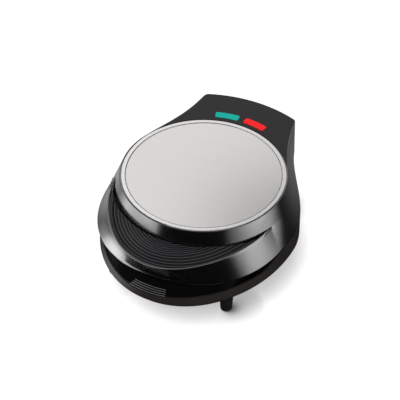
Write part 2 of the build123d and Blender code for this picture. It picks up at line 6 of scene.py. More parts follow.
import bpy
from bpy.props import FloatProperty, FloatVectorProperty, IntProperty, PointerProperty
from bpy.types import Operator, Panel, PropertyGroup
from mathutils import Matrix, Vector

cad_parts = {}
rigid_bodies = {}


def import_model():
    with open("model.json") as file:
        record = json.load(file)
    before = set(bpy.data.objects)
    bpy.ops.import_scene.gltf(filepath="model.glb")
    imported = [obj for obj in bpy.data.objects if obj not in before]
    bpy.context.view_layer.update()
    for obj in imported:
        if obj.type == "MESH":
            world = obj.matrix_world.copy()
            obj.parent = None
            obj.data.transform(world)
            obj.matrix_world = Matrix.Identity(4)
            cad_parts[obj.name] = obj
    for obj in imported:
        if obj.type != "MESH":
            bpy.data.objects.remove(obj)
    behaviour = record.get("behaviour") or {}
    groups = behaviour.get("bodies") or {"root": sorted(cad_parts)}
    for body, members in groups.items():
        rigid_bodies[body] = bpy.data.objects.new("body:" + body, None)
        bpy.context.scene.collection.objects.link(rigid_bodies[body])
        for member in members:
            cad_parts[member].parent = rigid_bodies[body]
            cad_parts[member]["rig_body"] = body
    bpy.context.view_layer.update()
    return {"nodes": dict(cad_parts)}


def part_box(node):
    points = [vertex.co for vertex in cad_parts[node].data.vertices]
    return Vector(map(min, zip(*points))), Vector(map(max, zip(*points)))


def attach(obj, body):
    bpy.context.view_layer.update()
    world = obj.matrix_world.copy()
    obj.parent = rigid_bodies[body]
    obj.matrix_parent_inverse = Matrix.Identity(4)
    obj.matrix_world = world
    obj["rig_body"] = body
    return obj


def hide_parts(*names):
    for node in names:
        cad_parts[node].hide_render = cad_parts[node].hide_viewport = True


bl_info = {
    "name": "Omelette maker finishes",
    "version": (1, 0, 0),
    "blender": (4, 5, 0),
    "location": "3D View > Sidebar > Omelette",
    "description": "Skins, finishes and stage of a two-pocket omelette maker with a hinged lid",
    "category": "Object",
}

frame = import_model()
lid_low, lid_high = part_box("lid_shell")
disc_low, disc_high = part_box("disc_trim")
base_low, base_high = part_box("base_shell")
panel_low, panel_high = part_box("crescent_panel")

# Sizes in metres, measured from the axis of the round plates, as the mouldings have them.
plate_centre_y = (disc_low[1] + disc_high[1]) / 2
lid_edge_z = lid_low[2]
lid_top_z = lid_high[2]
lip_z = lid_top_z - 0.015
half_width = lid_high[0]
drum_radius = 0.0845
lip_reach = plate_centre_y - lid_low[1]
lip_fullness = 1.87
brim_reach = 0.1145
brim_fullness = 2.35
tail_reach = lid_high[1] - plate_centre_y
tail_corner = (0.0515, 0.1146)
top_swell, edge_swell = 0.0363, 0.0399
top_waist, edge_waist = (0.0569, 0.0572), (0.0601, 0.0810)
side_share, rear_share, corner_steps = 0.968, 0.94, 6  # start, end and faces of the tail corner
wall = 0.0024
lip_wall = 0.0015
tip_pull, tip_run = 0.0030, 0.0025  # how the lip runs into the drum at its tips
recess_run = 0.004  # gap at which the recess and the bead have their full size
top_wall = 0.003
visor_ceiling_z = panel_low[2] - wall
panel_drop, panel_play = 0.0037, 0.0001  # from the lip down to the panel's low edge, and its play in the lip
# crest_share also marks where the painted highlight on each rib begins.
crest_share, band_gap = 0.8, 0.0002  # where a rib's crest starts, and the flat band outside the ribs
disc_groove, seat_depth, seat_corners = 0.0011, 0.002, 192
bead_height, bead_reach = 0.0012, 0.0008
belt_z = base_low[2] + 0.0075
rim_z = base_low[2] + 0.017
base_top_z = base_high[2]
belt_reach, belt_fullness = 0.126, 2.0
rim_reach = plate_centre_y - base_low[1]
rim_fullness = 1.85
floor_inset = 0.0065
base_waist = (0.0601, 0.0780)
base_rear_y = base_high[1] - plate_centre_y
base_corner_y = base_rear_y - 0.003
side_start, side_foot = -0.020, -0.052
scoop_top_reach = 0.108
scoop_top_fullness = 1.95
frame_play = wall + 0.0002
frame_top, frame_wall = 0.003, 0.002
plate_hole_radius = 0.0802
belt_rows, slope_rows = 4, 6
first_grip, grip_pitch = 0.1201, 0.0018
grip_left, grip_right = (-0.0195, -0.0014), (0.0145, 0.0005)
grip_width, grip_height = 0.0010, 0.0006
grip_steps, grip_taper = 24, 10
grip_shoulder, grip_dome, grip_sink = 0.35, 0.65, 0.4  # shares of the height
vent_pitch, vent_width, vent_length = 0.009, 0.003, 0.044
lug_offset, lug_width, lug_slot = 0.020, 0.0074, 0.0073
eye_depth = 0.0022  # of the rear strip with the hinge eyes
copy_gap, ring_gap = 0.000002, 0.00001  # corners closer than this are merged
fine_grain, coarse_grain = 0.00001, 0.00003  # depth of the grain on satin plastic


# ---- settings
def colour(label, words, value):
    return FloatVectorProperty(name=label, description=words, default=value, subtype="COLOR", size=3, min=0, max=1)


def length(label, words, value):
    return FloatProperty(name=label, description=words, default=value, min=0, unit="LENGTH", precision=5)


def number(label, words, value):
    return FloatProperty(name=label, description=words, default=value, min=0)


def amount(label, words, value, least=1):
    return IntProperty(name=label, description=words, default=value, min=least)


def pair(label, words, value):
    return FloatVectorProperty(name=label, description=words, default=value, size=2)


def angle(label, words, degrees):
    return FloatProperty(name=label, description=words, default=radians(degrees), unit="ROTATION")


class OmeletteFinishes(PropertyGroup):
    """Colours of the mouldings, metals, lenses and coatings."""

    lid_black: colour("Lid black", "Glossy black of the drum, tail and visor", (0.0035, 0.0035, 0.0042))
    lid_top: colour("Lid top", "Satin black of the flat top and tail", (0.0085, 0.0066, 0.0068))
    # The lighter grey on the lid's rounded lower edge is a painted highlight along that edge.
    lid_edge_highlight: colour("Lid edge", "Scuffed satin of the rounded lower edge of the lid", (0.07, 0.07, 0.07))
    # The recess is darker and duller than the lid black: its own black plastic, darkened further as painted shade
    # under the lid's brim.
    recess_black_and_shade: colour("Recess black", "Glossy black of the finger recess", (0.0015, 0.0015, 0.0017))
    frame_black: colour("Frame black", "Satin black of the flat frames round the plates", (0.009, 0.009, 0.0095))
    # The grey of the grip ridges lies only on their upward faces: a painted highlight on the ridge tops.
    grip_top_highlight: colour("Grip grey", "Satin grey of the ridges in the finger recess", (0.17, 0.17, 0.175))
    # The lighter slate on the rib crests is a painted highlight.
    rib_crest_highlight: colour("Rib grey", "Slate grey of the rib crests on the front panel", (0.038, 0.036, 0.047))
    band_slate: colour("Band slate", "Dark slate of the band between the lip and the ribs", (0.020, 0.019, 0.024))
    # The grooves are darker than the flat band: the panel's dark plastic with painted shade in the grooves.
    groove_black_and_shade: colour("Groove black", "Satin black of the grooves in the front panel", (0.002, 0.002, 0.0025))
    base_brown: colour("Base brown", "Satin brown-grey of the base shell", (0.026, 0.0215, 0.021))
    foot_grey: colour("Foot grey", "Dark grey-brown of the feet", (0.014, 0.0125, 0.012))
    steel: colour("Steel", "Brushed steel of the top disc", (0.455, 0.443, 0.437))
    rim: colour("Rim", "Rolled bright rim round the disc", (0.50, 0.495, 0.49))
    red: colour("Red lens", "Lens of the mains lamp", (0.72, 0.008, 0.010))
    green: colour("Green lens", "Lens of the ready lamp", (0.0, 0.31, 0.26))
    coating: colour("Coating", "Non-stick coating of the cooking plates", (0.014, 0.014, 0.015))


class OmeletteSizes(PropertyGroup):
    """Sizes of the finish: edge rounding, grain, brushing, faces, grips and ribs."""

    edge: length("Edge rounding", "Radius on the outer edges of the mouldings", 0.0004)
    fine_edge: length("Fine edge rounding", "Radius on ribs and small pieces", 0.0002)
    edge_steps: amount("Edge steps", "Segments of a rounded edge", 2)
    brush_width: length("Brush width", "Width of one brushed line on the disc", 0.00035)
    grain: length("Grain", "Size of the moulded grain on satin plastic", 0.0006)
    front_columns: amount("Front columns", "Faces round the front", 144, 12)
    side_columns: amount("Side columns", "Faces along each side", 28, 4)
    visor_rows: amount("Visor rows", "Faces down the front wall", 8)
    grip_count: amount("Grips", "Ridges in the finger recess", 4, 0)
    rib_count: amount("Ribs", "Ribs of the front panel", 11)
    rib_width: length("Rib width", "Width of one rib", 0.0016)
    rib_height: length("Rib height", "Height of one rib", 0.0008)
    rib_pitch: pair("Rib pitch", "Spacing of the ribs at the side and the front", (0.0035, 0.00285))
    first_rib: pair("First rib", "Half width and reach of the outermost rib", (0.0852, 0.1216))
    sloping_ribs: amount("Sloping ribs", "Ribs on the rising edge of the panel", 4)
    panel_gap: length("Panel gap", "Channel between the panel and the drum", 0.001)


class OmeletteStage(PropertyGroup):
    """Camera and light."""

    azimuth: angle("Azimuth", "Camera angle round the maker", 25.1)
    elevation: angle("Elevation", "Camera angle above the table", 42.6)
    eye: FloatVectorProperty(
        name="Eye", description="Place of the camera", default=(0.62895, -1.3496, 1.4260), size=3, unit="LENGTH"
    )
    lens: FloatProperty(name="Lens", description="Focal length in millimetres", default=180.0, min=1)
    floor: colour("Floor", "Colour of the table top", (0.93, 0.93, 0.93))
    left_power: number("Left light", "Power of the left soft box in watts", 12.0)
    strip_level: number("Strip level", "Brightness of the strips that the glossy sides reflect", 5.0)
    rear_power: number("Rear light", "Power of the large soft box behind the maker in watts", 14.0)
    low_level: number("Low level", "Brightness of the cards that lie beside the front", 3.6)
    sky_level: number("Sky level", "Light of the plain surroundings on matt surfaces", 0.72)


def finishes():
    return bpy.context.scene.omelette_finishes


def sizes():
    return bpy.context.scene.omelette_sizes


def stage_settings():
    return bpy.context.scene.omelette_stage


def rounding():
    """The radius of a moulding's edges, and how far their middle step stands in."""
    return sizes().edge, sizes().edge * 0.3


# ---- material helpers
def new_material(name):
    """A node material with nothing but its output and a principled shader."""
    material = bpy.data.materials.new(name)
    material.use_nodes = True
    nodes = material.node_tree.nodes
    nodes.clear()
    output = nodes.new("ShaderNodeOutputMaterial")
    shader = nodes.new("ShaderNodeBsdfPrincipled")
    link(material, shader.outputs["BSDF"], output.inputs["Surface"])
    return material, shader


def fill(node, **inputs):
    """Sets input sockets by name, with an underscore for each space."""
    for socket, value in inputs.items():
        node.inputs[socket.replace("_", " ")].default_value = value


def add_node(material, kind, **inputs):
    """A node of one kind with some of its input sockets set."""
    node = material.node_tree.nodes.new(kind)
    fill(node, **inputs)
    return node


def link(material, start, end):
    material.node_tree.links.new(start, end)


def coordinates(material, stretch=(1.0, 1.0, 1.0), centre=(0.0, 0.0, 0.0)):
    """Object coordinates through a mapping that stretches them."""
    place = add_node(material, "ShaderNodeTexCoord")
    mapping = add_node(material, "ShaderNodeMapping", Location=centre, Scale=stretch)
    mapping.vector_type = "TEXTURE"
    link(material, place.outputs["Object"], mapping.inputs["Vector"])
    return mapping.outputs["Vector"]


def noise(material, vector, scale, detail=3.0, roughness=0.5):
    node = add_node(material, "ShaderNodeTexNoise", Scale=scale, Detail=detail, Roughness=roughness)
    link(material, vector, node.inputs["Vector"])
    return node.outputs["Fac"]


def spread(material, value, low, high):
    """Maps a 0 to 1 pattern onto a range."""
    node = add_node(material, "ShaderNodeMapRange", To_Min=low, To_Max=high)
    link(material, value, node.inputs["Value"])
    return node.outputs["Result"]


def combine(material, operation, first, second):
    """Two values through a Math node; each is a socket or a number, and a sum is held to 1."""
    node = add_node(material, "ShaderNodeMath")
    node.operation = operation
    node.use_clamp = operation == "ADD"
    for socket, value in zip(node.inputs, (first, second)):
        if isinstance(value, float):
            socket.default_value = value
        else:
            link(material, value, socket)
    return node.outputs["Value"]


def mix_shaders(material, share, first, second):
    """Sends a mix of two shaders to the output of a material."""
    mix = add_node(material, "ShaderNodeMixShader")
    for socket, value in zip(mix.inputs, (share, first, second)):
        link(material, value, socket)
    output = next(node for node in material.node_tree.nodes if node.type == "OUTPUT_MATERIAL")
    link(material, mix.outputs["Shader"], output.inputs["Surface"])


def tint(material, shader, value, base, low, high):
    """Gives a shader the base colour, made darker and lighter by a pattern."""
    ramp = add_node(material, "ShaderNodeValToRGB")
    for element, factor, position in zip(ramp.color_ramp.elements, (low, high), (0.3, 0.7)):
        element.color = [*(min(1, part * factor) for part in base), 1]
        element.position = position
    link(material, value, ramp.inputs["Fac"])
    link(material, ramp.outputs["Color"], shader.inputs["Base Color"])


def polish(material, shader, value, low, high):
    """Gives a shader a roughness that a pattern varies."""
    link(material, spread(material, value, low, high), shader.inputs["Roughness"])


def bump(material, shader, height, distance, strength=1.0):
    node = add_node(material, "ShaderNodeBump", Strength=strength, Distance=distance)
    link(material, height, node.inputs["Height"])
    link(material, node.outputs["Normal"], shader.inputs["Normal"])


# ---- materials
def gloss_moulding(name, base, roughness, coat, gloss=0.5):
    """Polished black plastic: faint flow marks, dust-fine roughness changes and a clear top gloss."""
    material, shader = new_material(name)
    broad = noise(material, coordinates(material), 28.0, 2.0)
    fine = noise(material, coordinates(material), 900.0, 4.0, 0.6)
    tint(material, shader, broad, base, 0.85, 1.2)
    polish(material, shader, fine, roughness * 0.95, roughness * 1.06)
    bump(material, shader, broad, 0.00001, 0.3)
    fill(shader, Specular_IOR_Level=gloss, Coat_Weight=coat, Coat_Roughness=0.12)
    return material


def satin_moulding(name, base, roughness, gloss=0.5, depth=fine_grain):
    """Fine-grained satin plastic."""
    material, shader = new_material(name)
    broad = noise(material, coordinates(material), 35.0, 2.0)
    grain = noise(material, coordinates(material), 1.0 / sizes().grain, 3.0, 0.55)
    tint(material, shader, broad, base, 0.88, 1.15)
    polish(material, shader, grain, roughness * 0.85, roughness * 1.15)
    bump(material, shader, grain, depth, 0.5)
    fill(shader, Specular_IOR_Level=gloss)
    return material


def brushed_disc_steel(name, base):
    """Steel brushed in straight lines across the disc, with cloudy changes of tone."""
    material, shader = new_material(name)
    width = sizes().brush_width
    lines = noise(material, coordinates(material, (0.060, width, 1.0)), 1.0, 6.0, 0.65)
    long_lines = noise(material, coordinates(material, (0.25, width * 5, 1.0)), 1.0, 3.0)
    stretched = spread(material, combine(material, "MULTIPLY", lines, long_lines), -0.3, 1.6)
    tint(material, shader, stretched, base, 0.86, 1.14)
    polish(material, shader, lines, 0.24, 0.34)
    fill(shader, Metallic=1.0)
    bump(material, shader, lines, 0.000004, 0.2)
    return material


def metal(name, base, roughness, scale=300.0):
    """Plain worked metal with small changes of polish."""
    material, shader = new_material(name)
    marks = noise(material, coordinates(material), scale, 4.0, 0.6)
    tint(material, shader, marks, base, 0.9, 1.08)
    polish(material, shader, marks, roughness * 0.8, roughness * 1.25)
    fill(shader, Metallic=1.0)
    bump(material, shader, marks, 0.000008, 0.3)
    return material


def lens_plastic(name, base):
    """Clear coloured lens with a moulded stipple behind a smooth face."""
    material, shader = new_material(name)
    stipple = noise(material, coordinates(material), 700.0, 2.0)
    tint(material, shader, stipple, base, 0.8, 1.25)
    polish(material, shader, stipple, 0.12, 0.22)
    fill(shader, Specular_IOR_Level=0.06, Emission_Color=[*base, 1], Emission_Strength=0.2)
    bump(material, shader, stipple, 0.00002, 0.4)
    return material


def non_stick(name, base):
    """Sprayed coating with a fine speckle."""
    material, shader = new_material(name)
    speckle = noise(material, coordinates(material), 2500.0, 2.0, 0.7)
    cloud = noise(material, coordinates(material), 40.0, 3.0)
    tint(material, shader, speckle, base, 0.7, 1.8)
    polish(material, shader, cloud, 0.32, 0.45)
    bump(material, shader, speckle, 0.00002, 0.5)
    return material


# ---- shaping helpers
def only(piece):
    """Selects one object and nothing else."""
    bpy.ops.object.select_all(action="DESELECT")
    piece.select_set(True)
    bpy.context.view_layer.objects.active = piece


def added(operator, **settings):
    """A new object from one of Blender's add operators, alone in the selection."""
    bpy.ops.object.select_all(action="DESELECT")
    operator(**settings)
    return bpy.context.view_layer.objects.active


def dress(piece, *materials):
    """Gives a piece its materials, in the order of their slots."""
    piece.data.materials.clear()
    for material in materials:
        piece.data.materials.append(material)


def open_mesh(piece):
    """Starts to edit a piece, with all of its mesh selected."""
    only(piece)
    bpy.ops.object.mode_set(mode="EDIT")
    bpy.ops.mesh.select_all(action="SELECT")


def close_mesh():
    bpy.ops.mesh.select_all(action="DESELECT")
    bpy.ops.object.mode_set(mode="OBJECT")


def modify(piece, kind, **settings):
    """Adds one modifier to a piece and applies it."""
    only(piece)
    modifier = piece.modifiers.new("change", kind)
    for name, value in settings.items():
        setattr(modifier, name, value)
    bpy.ops.object.modifier_apply(modifier=modifier.name)


def cut(piece, cutter):
    """Takes one solid out of another."""
    modify(piece, "BOOLEAN", operation="DIFFERENCE", solver="EXACT", object=cutter)
    bpy.data.objects.remove(cutter)


def shade(piece, degrees):
    """Smooth shading, where edges that turn by more degrees stay sharp."""
    only(piece)
    bpy.ops.object.shade_smooth_by_angle(angle=radians(degrees))


def smooth(piece, degrees):
    """Smooth shading that keeps the large faces true and lets the rounded edges carry the turn."""
    shade(piece, degrees)
    modify(piece, "WEIGHTED_NORMAL", mode="FACE_AREA", weight=90, keep_sharp=True)


def cad_copy(node, flatten=False):
    """A loose copy of a frame piece, with its corners merged and, where wanted, its flat faces joined."""
    only(frame["nodes"][node])
    bpy.ops.object.duplicate()
    piece = bpy.context.view_layer.objects.active
    piece.parent = None
    for key in list(piece.keys()):
        del piece[key]
    open_mesh(piece)
    bpy.ops.mesh.remove_doubles(threshold=copy_gap)
    if flatten:
        bpy.ops.mesh.dissolve_limited(angle_limit=radians(0.2))
    close_mesh()
    return piece


def skin(node, name, material, radius):
    """A copy of a moulding with rounded edges and smooth shading, in the moulding's place."""
    source = frame["nodes"][node]
    piece = cad_copy(node, flatten=True)
    piece.name = name
    if radius > 0:
        steps = sizes().edge_steps
        modify(piece, "BEVEL", width=radius, segments=steps, limit_method="ANGLE", angle_limit=radians(38))
    smooth(piece, 32)
    dress(piece, material)
    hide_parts(node)
    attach(piece, source["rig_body"])


# ---- outlines
def front_radius(turn, width, reach, fullness):
    """Distance from the plate axis to a rounded front, at an angle round from the right-hand side."""
    across = abs(cos(turn) / width) ** fullness
    along = abs(sin(turn) / reach) ** fullness
    return (across + along) ** (-1 / fullness)


def front_turns():
    """Angles of the columns round the front, from the right-hand side to the left."""
    count = sizes().front_columns
    return [pi * step / count for step in range(count + 1)]


def bezier(ends, share):
    """A point on a curve with two ends and one or two handles between them."""
    points = list(ends)
    while len(points) > 1:
        points = [
            (a[0] + share * (b[0] - a[0]), a[1] + share * (b[1] - a[1])) for a, b in zip(points, points[1:])
        ]
    return points[0]


def back_points(width, swell, waist, corner, rear):
    """The left half of the back of a section: side, rounded tail corner and bowed rear edge."""
    side = [(width, 0), (width, swell), waist, corner]
    count = sizes().side_columns
    points = [bezier(side, side_share * step / count) for step in range(1, count + 1)]
    rise = rear - corner[1]
    arc = (corner[0] ** 2 + rise**2) / (2 * rise)
    bow = []
    for step in range(count + 1):
        x = rear_share * corner[0] * (1 - step / count)
        bow.append((x, rear - arc + (arc**2 - x**2) ** 0.5))
    turn_in = [bezier([points[-1], corner, bow[0]], step / corner_steps) for step in range(1, corner_steps)]
    return points + turn_in + bow


def lid_back(width, down, inset):
    """The back of the lid at a share of the way down."""
    swell = top_swell + down * (edge_swell - top_swell)
    waist = bezier([top_waist, edge_waist], down)
    corner = (tail_corner[0] - inset, tail_corner[1] - inset)
    return back_points(width, swell, (waist[0] - inset, waist[1]), corner, tail_reach - inset)


def base_back(width, inset):
    """The back of the base."""
    corner = (tail_corner[0] - inset, base_corner_y - inset)
    waist = (base_waist[0] - inset, base_waist[1])
    return back_points(width, edge_swell, waist, corner, base_rear_y - inset)


def round_point(turn, radius, z):
    """A point at an angle and a distance round the plate axis."""
    return (radius * cos(turn), plate_centre_y - radius * sin(turn), z)


def whole_ring(z, front, rear):
    """A closed ring: a front given by its radius at each angle, and the back mirrored from its left half."""
    ring = [(radius * cos(turn), -radius * sin(turn)) for turn, radius in zip(front_turns(), front)]
    left = [(-x, y) for x, y in rear]
    right = [(x, y) for x, y in reversed(rear[:-1])]
    return [(x, y + plate_centre_y, z) for x, y in ring + left + right + ring[:1]]


def width_at(z):
    """Half width of the flared lid wall at a height."""
    return drum_radius + (lid_top_z - z) / (lid_top_z - lid_edge_z) * (half_width - drum_radius)


def drum_front(z, inset=0.0):
    return [width_at(z) - inset for turn in front_turns()]


def lip_gap(turn):
    """How far the lip stands out from the drum; it runs into the drum at the two tips of the crescent."""
    gap = front_radius(turn, width_at(lip_z), lip_reach, lip_fullness) - width_at(lip_z)
    return max(0.0, gap - tip_pull * exp(-gap / tip_run))


def visor_front(z, inset=0.0):
    """The front wall below the lip: straight lines from the lip to the lower edge."""
    share = (lip_z - z) / (lip_z - lid_edge_z)
    lip = [width_at(lip_z) + lip_gap(turn) - inset for turn in front_turns()]
    brim = [front_radius(turn, half_width - inset, brim_reach - inset, brim_fullness) for turn in front_turns()]
    return [a + share * (b - a) for a, b in zip(lip, brim)]


def lid_ring(z, front, inset=0.0):
    down = (lid_top_z - z) / (lid_top_z - lid_edge_z)
    return whole_ring(z, front, lid_back(width_at(z) - inset, down, inset))


def drum_ring(z, inset=0.0):
    return lid_ring(z, drum_front(z, inset), inset)


def visor_ring(z, inset=0.0):
    return lid_ring(z, visor_front(z, inset), inset)


def base_ring(z, reach, fullness, inset=0.0):
    width = half_width - inset
    front = [front_radius(turn, width, reach - inset, fullness) for turn in front_turns()]
    return whole_ring(z, front, base_back(width, inset))


def ringed(name, rings):
    """A grid laid along a list of rings, closed on itself round the piece and capped at both ends."""
    columns, rows = len(rings[0]) - 1, len(rings) - 1
    piece = added(bpy.ops.mesh.primitive_grid_add, x_subdivisions=columns, y_subdivisions=rows, size=0.1)
    piece.name = name
    places = [place for ring in rings for place in ring]
    corners = piece.data.vertices
    if len(corners) != len(places):
        raise RuntimeError(f"{name}: the grid has {len(corners)} corners, not {len(places)}")
    for corner, place in zip(corners, places):
        corner.co = place
    open_mesh(piece)
    bpy.ops.mesh.remove_doubles(threshold=ring_gap)
    bpy.ops.mesh.dissolve_degenerate(threshold=ring_gap)
    bpy.ops.mesh.select_all(action="DESELECT")
    bpy.ops.mesh.select_mode(type="EDGE")
    bpy.ops.mesh.select_non_manifold()
    bpy.ops.mesh.edge_face_add()
    bpy.ops.mesh.select_all(action="SELECT")
    bpy.ops.mesh.normals_make_consistent(inside=False)
    close_mesh()
    return piece


def opening(z):
    """Outer wall of the crescent opening in the lip; the lip thins to nothing at the two tips."""
    gaps = [lip_gap(turn) for turn in front_turns()]
    return [radius - lip_wall * (1 - exp(-gap / tip_run)) for radius, gap in zip(visor_front(z), gaps)]


def ridge(height, width):
    """Offsets and heights across one rounded rib."""
    return [(width * step / 6, height * sin(pi * step / 6) ** 0.7) for step in range(7)]


class OMELETTE_OT_lid(Operator):
    """Lid shell: round drum, drawn-in tail, front lip and the wall under it"""

    bl_idname = "omelette.lid"
    bl_label = "Lid shell"

    def execute(self, context):
        edge, soft = rounding()
        seat_z = panel_low[2]
        drum_lip, visor_lip, inner_lip = drum_front(lip_z), visor_front(lip_z), opening(lip_z)
        deep = [min(1.0, max(0.0, inner - drum) / recess_run) for inner, drum in zip(inner_lip, drum_lip)]
        drum_foot = [lip + share * (seat - lip) for lip, seat, share in zip(drum_lip, drum_front(seat_z), deep)]

        def recess(z, front):
            """A ring that follows the recess where it is open and stays on the drum elsewhere."""
            ring = lid_ring(lip_z, drum_lip)
            for column, turn in enumerate(front_turns()):
                if deep[column] > 0:
                    radius = max(front[column], drum_lip[column])
                    ring[column] = round_point(turn, radius, lip_z + deep[column] * (z - lip_z))
            return ring

        def lip_edge(z, inset):
            """A ring on the rounded top of the lip, never inside the drum."""
            front = [max(visor - inset, drum) for visor, drum in zip(visor_lip, drum_lip)]
            ring = lid_ring(lip_z, front)
            return [
                (x, y, z if visor - drum > inset else lip_z)
                for (x, y, level), visor, drum in zip(ring, visor_lip, drum_lip)
            ] + ring[len(visor_lip):]

        rings = [
            drum_ring(lid_top_z, edge),
            lid_ring(lid_top_z - soft, drum_front(lid_top_z, soft), soft),
            drum_ring(lid_top_z - edge),
            drum_ring((lid_top_z + lip_z) / 2),
            recess(seat_z, drum_foot),
            recess(seat_z, opening(seat_z)),
            recess(lip_z - edge, inner_lip),
            recess(lip_z - soft, [radius + soft for radius in inner_lip]),
            recess(lip_z, [radius + edge for radius in inner_lip]),
            lip_edge(lip_z, edge),
            lip_edge(lip_z - soft, soft),
        ]
        rows = sizes().visor_rows
        foot_z = lid_edge_z + bead_height + bead_reach
        for row in range(rows + 1):
            rings.append(visor_ring(lip_z - edge - (lip_z - edge - foot_z) * row / rows))
        leaning = [lip - brim for lip, brim in zip(visor_lip, visor_front(lid_edge_z))]
        bead = [bead_reach * min(1.0, max(0.0, lean / recess_run)) for lean in leaning]

        def beaded(z, inset=0.0):
            """A ring on the bead along the lower edge of the front, which fades out where the wall flares."""
            return lid_ring(z, [radius + out for radius, out in zip(visor_front(z, inset), bead)], inset)

        rings += [
            beaded(lid_edge_z + bead_height),
            beaded(lid_edge_z + edge),
            beaded(lid_edge_z + soft, soft),
            beaded(lid_edge_z, edge),
            visor_ring(lid_edge_z, wall),
            visor_ring(visor_ceiling_z, wall),
            drum_ring(visor_ceiling_z, wall),
            drum_ring(lid_top_z - top_wall, wall),
        ]
        lid = ringed("lid_skin", rings)
        seat = added(
            bpy.ops.mesh.primitive_cylinder_add,
            vertices=seat_corners,
            radius=(disc_high[0] - disc_low[0]) / 2 + disc_groove,
            depth=seat_depth,
            location=(0, plate_centre_y, disc_low[2] + seat_depth / 2),
        )
        for cutter in (seat, cad_copy("red_lens"), cad_copy("green_lens")):
            cut(lid, cutter)
        smooth(lid, 28)
        black = gloss_moulding("lid_gloss_black", finishes().lid_black, 0.2, 1.0)
        satin = satin_moulding("lid_satin_black", finishes().lid_top, 0.42, 0.14)
        dress(lid, black, satin, satin_moulding("lid_edge_painted_highlight", finishes().lid_edge_highlight, 0.4))
        for face in lid.data.polygons:
            if face.normal.z > 0.999 and face.center.z > lid_top_z - 0.0001:
                face.material_index = 1
            # Downward faces on the rounded lower edge take the lighter grey: a painted highlight.
            elif face.normal.z < -0.2 and lid_edge_z < face.center.z < lid_edge_z + edge:
                face.material_index = 2
        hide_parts("lid_shell")
        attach(lid, "lid")
        return {"FINISHED"}


class OMELETTE_OT_front_panel(Operator):
    """Ribbed crescent panel inside the visor"""

    bl_idname = "omelette.front_panel"
    bl_label = "Ribbed front panel"

    def execute(self, context):
        values = sizes()
        edge_z = lip_z - panel_drop
        crown_z = panel_high[2] - values.rib_height
        inner = width_at(lip_z) + values.panel_gap

        def rib_line(turn, rib):
            """Distance of a rib from the plate axis; ribs are counted from the lip."""
            width = values.first_rib[0] - rib * values.rib_pitch[0]
            return front_radius(turn, width, values.first_rib[1] - rib * values.rib_pitch[1], 2.0)

        def surface(turn, radius):
            """Height of the panel between its low edge and its flat crown, without ribs."""
            low, high = rib_line(turn, 0), rib_line(turn, values.sloping_ribs)
            return edge_z + min(1.0, max(0.0, (low - radius) / (low - high))) * (crown_z - edge_z)

        least = width_at(edge_z) + values.panel_gap
        outer = [radius - panel_play for radius in opening(edge_z)]
        keep = [(turn, far) for turn, far in zip(front_turns(), outer) if far > least]
        profile = [(0.0, 0.0)]
        for rib in range(values.rib_count):
            for offset, height in ridge(values.rib_height, values.rib_width):
                profile.append((rib + offset / values.rib_pitch[1], height))
        rings = [
            [round_point(turn, far, panel_low[2]) for turn, far in keep],
            [round_point(turn, far, surface(turn, far)) for turn, far in keep],
        ]
        for rib, height in profile:
            ring = []
            for turn, far in keep:
                wanted = rib_line(turn, rib)
                radius = min(max(wanted, inner), far)
                z = surface(turn, radius) + (height if radius == wanted else 0.0)
                ring.append(round_point(turn, radius, z))
            rings.append(ring)
        rings += [
            [round_point(turn, inner, surface(turn, inner)) for turn, far in keep],
            [round_point(turn, inner, panel_low[2]) for turn, far in keep],
        ]
        panel = ringed("ribbed_panel", rings + rings[:1])
        shade(panel, 50)
        dress(
            panel,
            # The first material is the panel's dark plastic with painted shade in the grooves, and the second a
            # painted highlight on the rib crests.
            satin_moulding("panel_black_and_groove_shade", finishes().groove_black_and_shade, 0.34, 0.15),
            satin_moulding("rib_crest_painted_highlight", finishes().rib_crest_highlight, 0.34, 0.4),
            satin_moulding("band_satin_slate", finishes().band_slate, 0.34, 0.25),
        )
        for face in panel.data.polygons:
            centre = face.center
            turn = atan2(plate_centre_y - centre.y, centre.x)
            radius = ((plate_centre_y - centre.y) ** 2 + centre.x**2) ** 0.5
            # Crest faces take the lighter slate as a painted highlight, and faces past the first rib take the band
            # slate. The rest, the grooves among them, keep the near-black, with painted shade in the grooves.
            if centre.z > surface(turn, radius) + values.rib_height * crest_share:
                face.material_index = 1
            elif radius > rib_line(turn, 0) + band_gap:
                face.material_index = 2
        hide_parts("crescent_panel")
        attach(panel, "lid")
        return {"FINISHED"}


class OMELETTE_OT_top_disc(Operator):
    """Brushed disc on the drum and the bright rim round it"""

    bl_idname = "omelette.top_disc"
    bl_label = "Top disc and rim"

    def execute(self, context):
        skin("steel_disc", "brushed_disc", brushed_disc_steel("disc_brushed_steel", finishes().steel), 0)
        skin("disc_trim", "bright_rim", metal("rim_bright_metal", finishes().rim, 0.42), 0)
        return {"FINISHED"}


class OMELETTE_OT_lenses(Operator):
    """Red and green lenses over the indicator lamps"""

    bl_idname = "omelette.lenses"
    bl_label = "Indicator lenses"

    def execute(self, context):
        skin("red_lens", "red_window", lens_plastic("lens_red", finishes().red), 0)
        skin("green_lens", "green_window", lens_plastic("lens_green", finishes().green), 0)
        return {"FINISHED"}


def wall_top(ring, drop=0.0):
    """The ring lifted to the top of the base wall, which ramps down to the front rim."""
    lifted = []
    for x, y, z in ring:
        share = (y - plate_centre_y - side_foot) / (side_start - side_foot)
        lifted.append((x, y, rim_z + min(1, max(0, share)) * (base_top_z - rim_z) - drop))
    return lifted


def slab(place, size):
    """A rectangular cutter."""
    block = added(bpy.ops.mesh.primitive_cube_add, size=1.0, location=place, scale=size)
    bpy.ops.object.transform_apply(location=True, rotation=True, scale=True)
    return block


